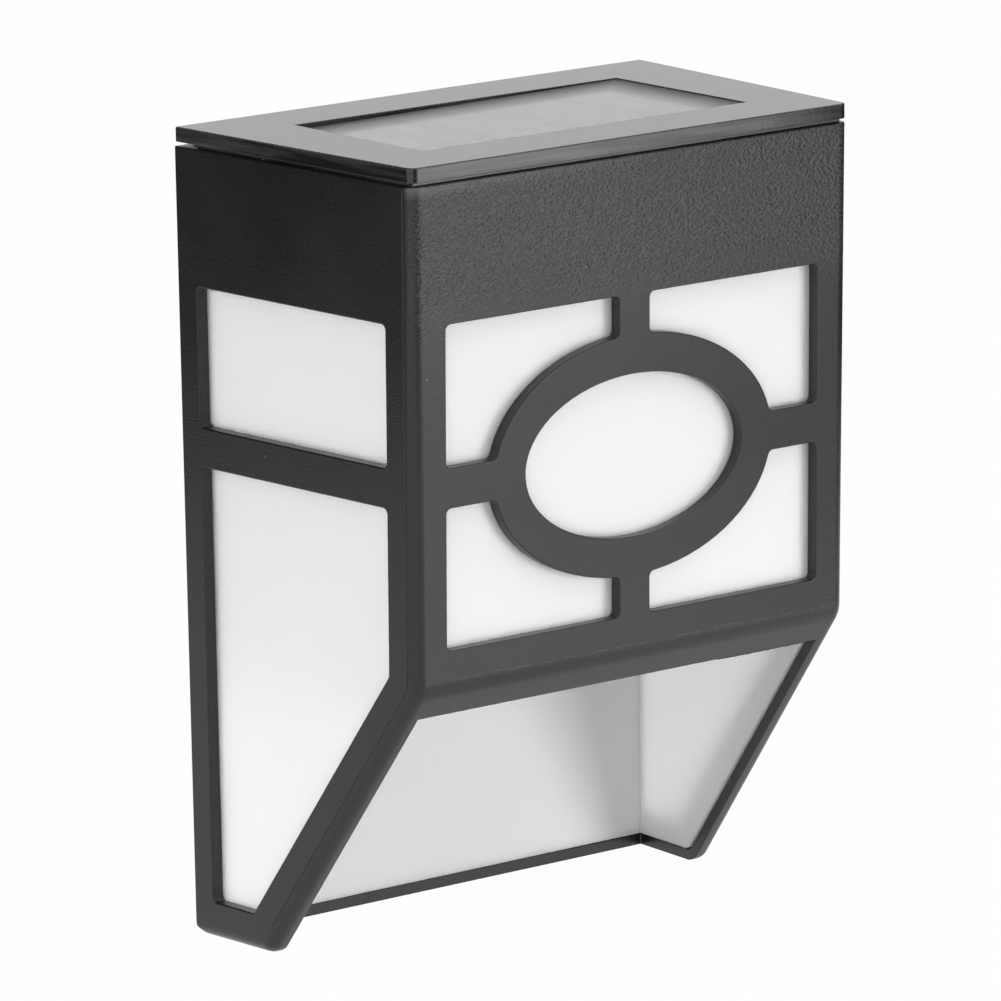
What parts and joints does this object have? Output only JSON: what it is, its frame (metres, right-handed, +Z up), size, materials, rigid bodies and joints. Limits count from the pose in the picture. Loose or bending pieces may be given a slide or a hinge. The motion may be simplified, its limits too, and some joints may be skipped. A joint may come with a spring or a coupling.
{
  "type": "solar wall light",
  "caption": "Black wall lantern with an oval window grille, milky diffuser, slanted open underside and a solar panel sunk in its lift-off lid.",
  "frame": {"origin": "on the wall plane, midway between the round entries of the two keyholes", "axes": "+X to the right seen from the front, +Y into the wall, +Z up"},
  "size_m": [0.09, 0.0532, 0.1245],
  "materials": {
    "black_abs": "moulded satin grain",
    "opal_plastic": "milky translucent",
    "white_abs": "moulded satin",
    "panel_film": "matt film",
    "silicon": "polished wafer",
    "board_laminate": "solder mask",
    "zinc_steel": "zinc plated",
    "nickel_steel": "nickel plated",
    "battery_film": "shrink film",
    "black_resin": "moulded resin",
    "choke_lacquer": "lacquered",
    "led_resin": "clear epoxy",
    "red_insulation": "soft vinyl",
    "black_insulation": "soft vinyl"
  },
  "bodies": {
    "housing": {"housing": "black_abs", "diffuser": "opal_plastic"},
    "lid_module": {"lid": "black_abs", "panel_board": "board_laminate", "solar_cells": "silicon", "panel_cover": "panel_film", "module_tray": "white_abs", "tray_screws": "zinc_steel", "battery": "nickel_steel", "battery_wrap": "battery_film", "positive_contact": "nickel_steel", "negative_contact": "nickel_steel", "circuit_board": "board_laminate", "circuit_screws": "zinc_steel", "leds": "led_resin", "switch_body": "black_resin", "control_chip": "black_resin", "choke": "choke_lacquer", "red_wires": "red_insulation", "black_wires": "black_insulation"},
    "switch_knob": {"switch_knob": "black_resin"},
    "battery_cover": {"battery_cover": "white_abs", "cover_screws": "zinc_steel"}
  },
  "joints": [
    {"name": "lid_lift", "type": "slide", "parent": "housing", "child": "lid_module", "axis": [0, 0, 1], "range_m": [0, 0.03]},
    {"name": "switch_slide", "type": "slide", "parent": "lid_module", "child": "switch_knob", "axis": [1, 0, 0], "range_m": [0, 0.002]},
    {"name": "battery_cover_release", "type": "slide", "parent": "lid_module", "child": "battery_cover", "axis": [0, 0, -1], "range_m": [0, 0.014]}
  ]
}
